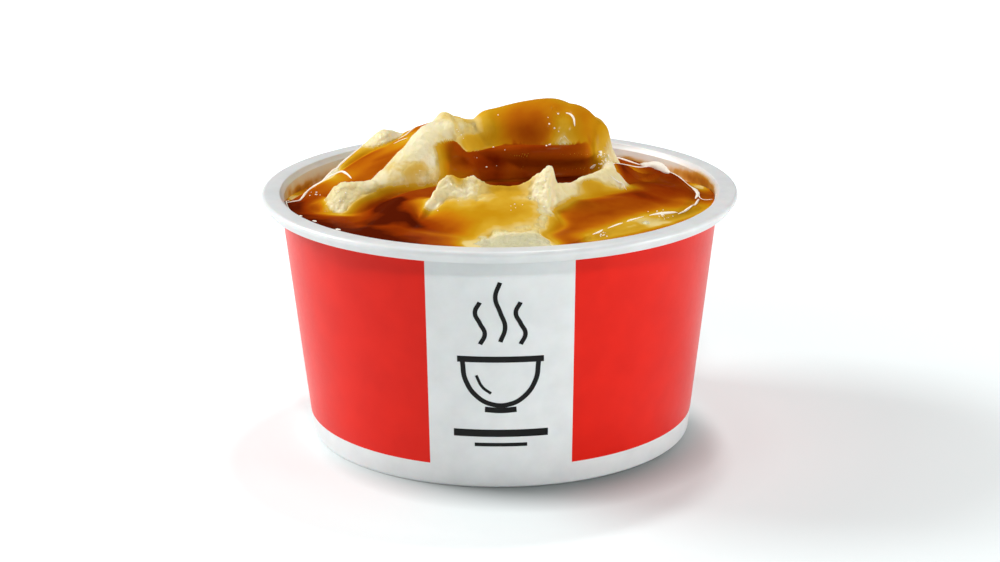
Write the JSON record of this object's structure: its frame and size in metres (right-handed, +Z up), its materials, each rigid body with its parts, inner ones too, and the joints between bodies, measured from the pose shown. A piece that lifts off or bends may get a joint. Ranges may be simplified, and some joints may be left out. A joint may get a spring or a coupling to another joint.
{
  "type": "mashed potato side",
  "caption": "Mashed potato with brown gravy in a round tapered pot: a torn, ridged heap with gravy pooled in its hollows, inside a flanged rim.",
  "frame": {"origin": "on the pot's axis, at the level of the ring it stands on", "axes": "+Z up along the pot's axis, -Y towards the front of the heap, +X to the right seen from the front"},
  "size_m": [0.095, 0.095, 0.0649],
  "materials": {
    "pot": "injection-moulded white polypropylene with a satin red and white in-mould print",
    "potato": "moist mashed potato, pale cream and finely grained",
    "gravy": "glossy thickened brown gravy, yellow where it is thin and red-brown where it is deep"
  },
  "bodies": {
    "root": {"pot": "pot", "mashed_potato": "potato", "gravy": "gravy"}
  },
  "joints": []
}
